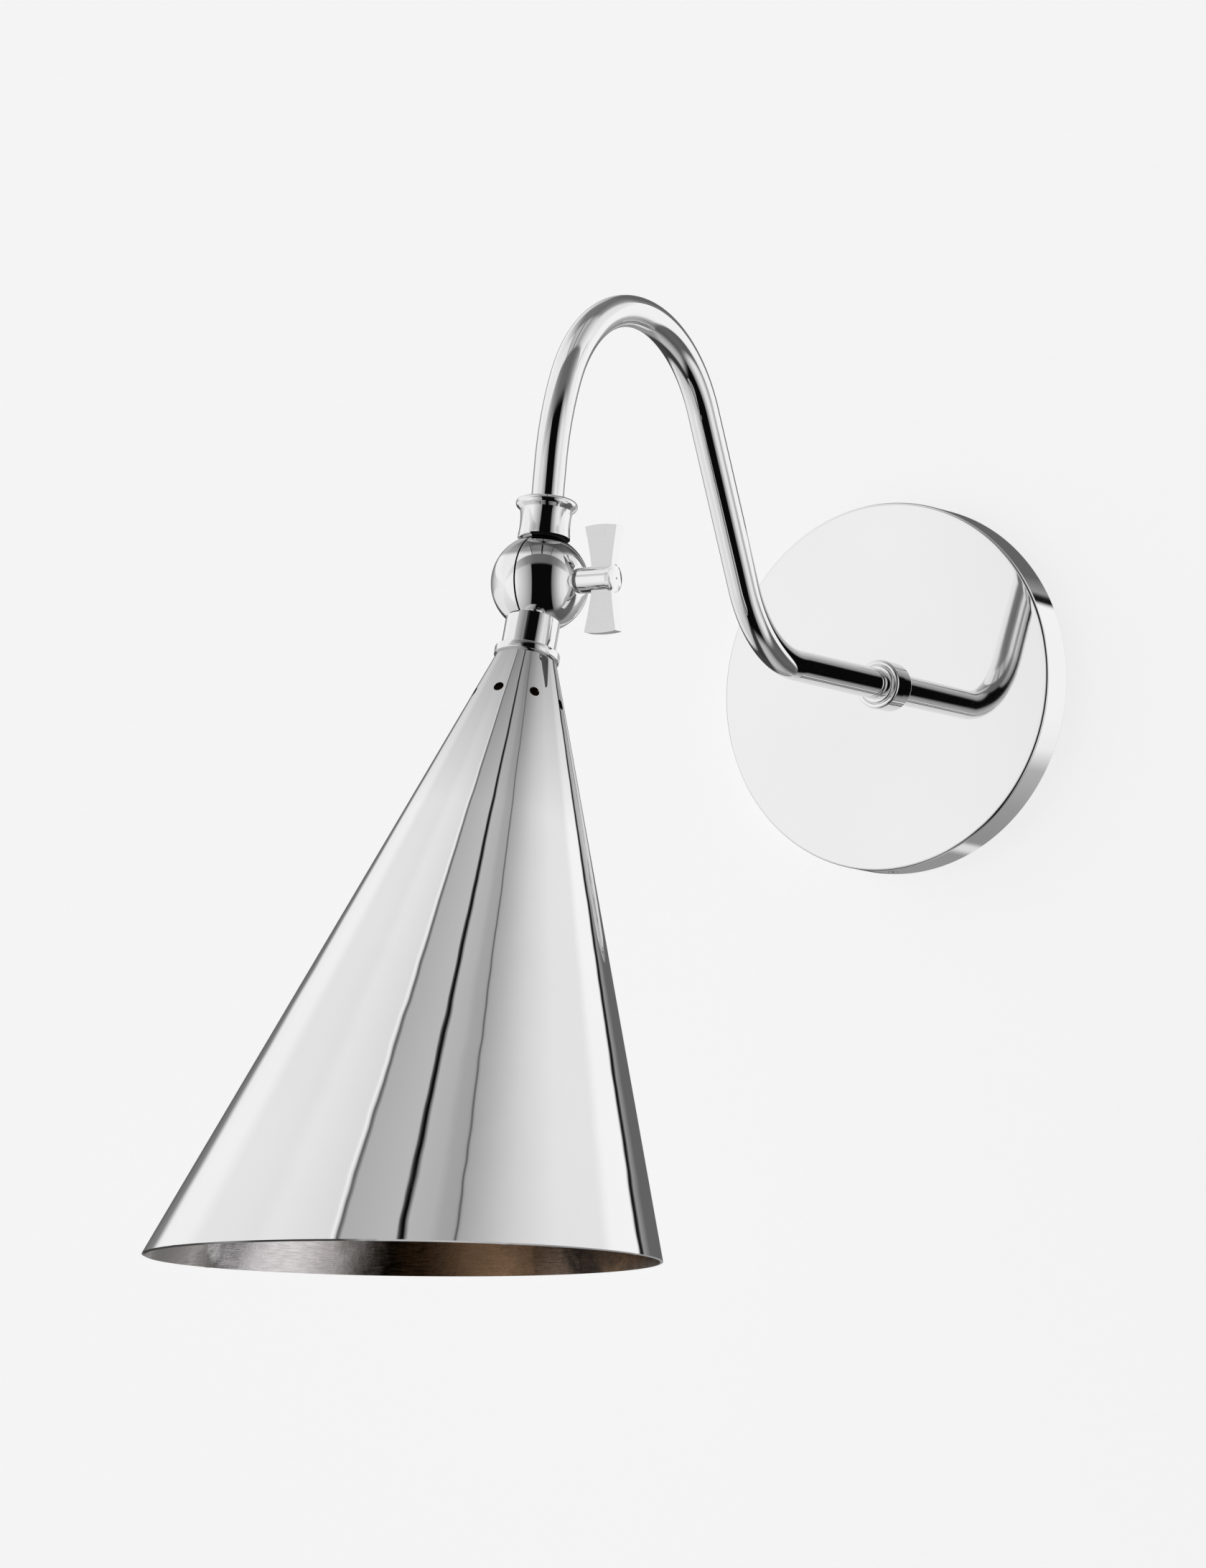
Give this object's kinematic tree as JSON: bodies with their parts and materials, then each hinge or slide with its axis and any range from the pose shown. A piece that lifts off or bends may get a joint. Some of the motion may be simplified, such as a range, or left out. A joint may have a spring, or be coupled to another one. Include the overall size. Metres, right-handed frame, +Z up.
{
  "type": "gooseneck wall sconce",
  "caption": "Polished wall light: round cover plate, fixed gooseneck arm, clamped ball swivel with a wing key, and a vented cone shade with a slanted mouth.",
  "frame": {"origin": "centre of the cover plate's wall face, between the two box screw slots", "axes": "+Z up, +Y into the wall, +X to the right as seen from the room; the arm lies in the plane X = 0 and the clamp key is on +X"},
  "size_m": [0.1532, 0.3844, 0.3098],
  "materials": {
    "polished_nickel": "polished nickel plate, mirror finish",
    "satin_nickel": "nickel plate, flat faces lightly satined",
    "shade_metal": "polished nickel outside, brushed inside",
    "zinc_steel": "zinc plated steel",
    "green_screw": "green ground screw",
    "fibre": "red vulcanised fibre",
    "black_insulation": "black insulation",
    "white_insulation": "white insulation",
    "bare_copper": "bare copper",
    "connector_orange": "moulded orange plastic",
    "brass": "plain brass",
    "black_phenolic": "moulded phenolic"
  },
  "bodies": {
    "arm": {"backplate": "polished_nickel", "crossbar": "zinc_steel", "rim_screws": "zinc_steel", "ground_screw": "green_screw", "arm_backing_washer": "zinc_steel", "arm_toothed_washer": "zinc_steel", "arm_lock_nut": "zinc_steel", "arm_tube": "polished_nickel", "plate_collar": "polished_nickel", "arm_end_collar": "polished_nickel", "swivel_fixed_half": "polished_nickel", "swivel_stop_pin": "zinc_steel", "friction_washer": "fibre", "lead_live": "black_insulation", "lead_neutral": "white_insulation", "lead_ground": "bare_copper", "wire_connectors": "connector_orange"},
    "shade": {"swivel_moving_half": "polished_nickel", "shade_neck": "polished_nickel", "shade_ring": "polished_nickel", "shade": "shade_metal", "shade_nipple": "zinc_steel", "shade_lock_nut": "zinc_steel", "lampholder_cap": "brass", "lampholder_body": "black_phenolic", "lampholder_screw_shell": "brass", "lampholder_centre_contact": "brass", "lampholder_terminal_screws": "brass", "lampholder_leads": "black_insulation"},
    "key": {"key_shaft": "polished_nickel", "key_wing": "satin_nickel", "key_spring_washer": "zinc_steel"}
  },
  "joints": [
    {"name": "shade_tilt", "type": "hinge", "parent": "arm", "child": "shade", "pos_m": [0, -0.22778, 0.00688], "axis": [1, 0, 0], "range_deg": [-73, 45]},
    {"name": "key_turn", "type": "hinge", "parent": "arm", "child": "key", "pos_m": [0, -0.22778, 0.00688], "axis": [1, 0, 0], "range_deg": [0, 360]}
  ]
}
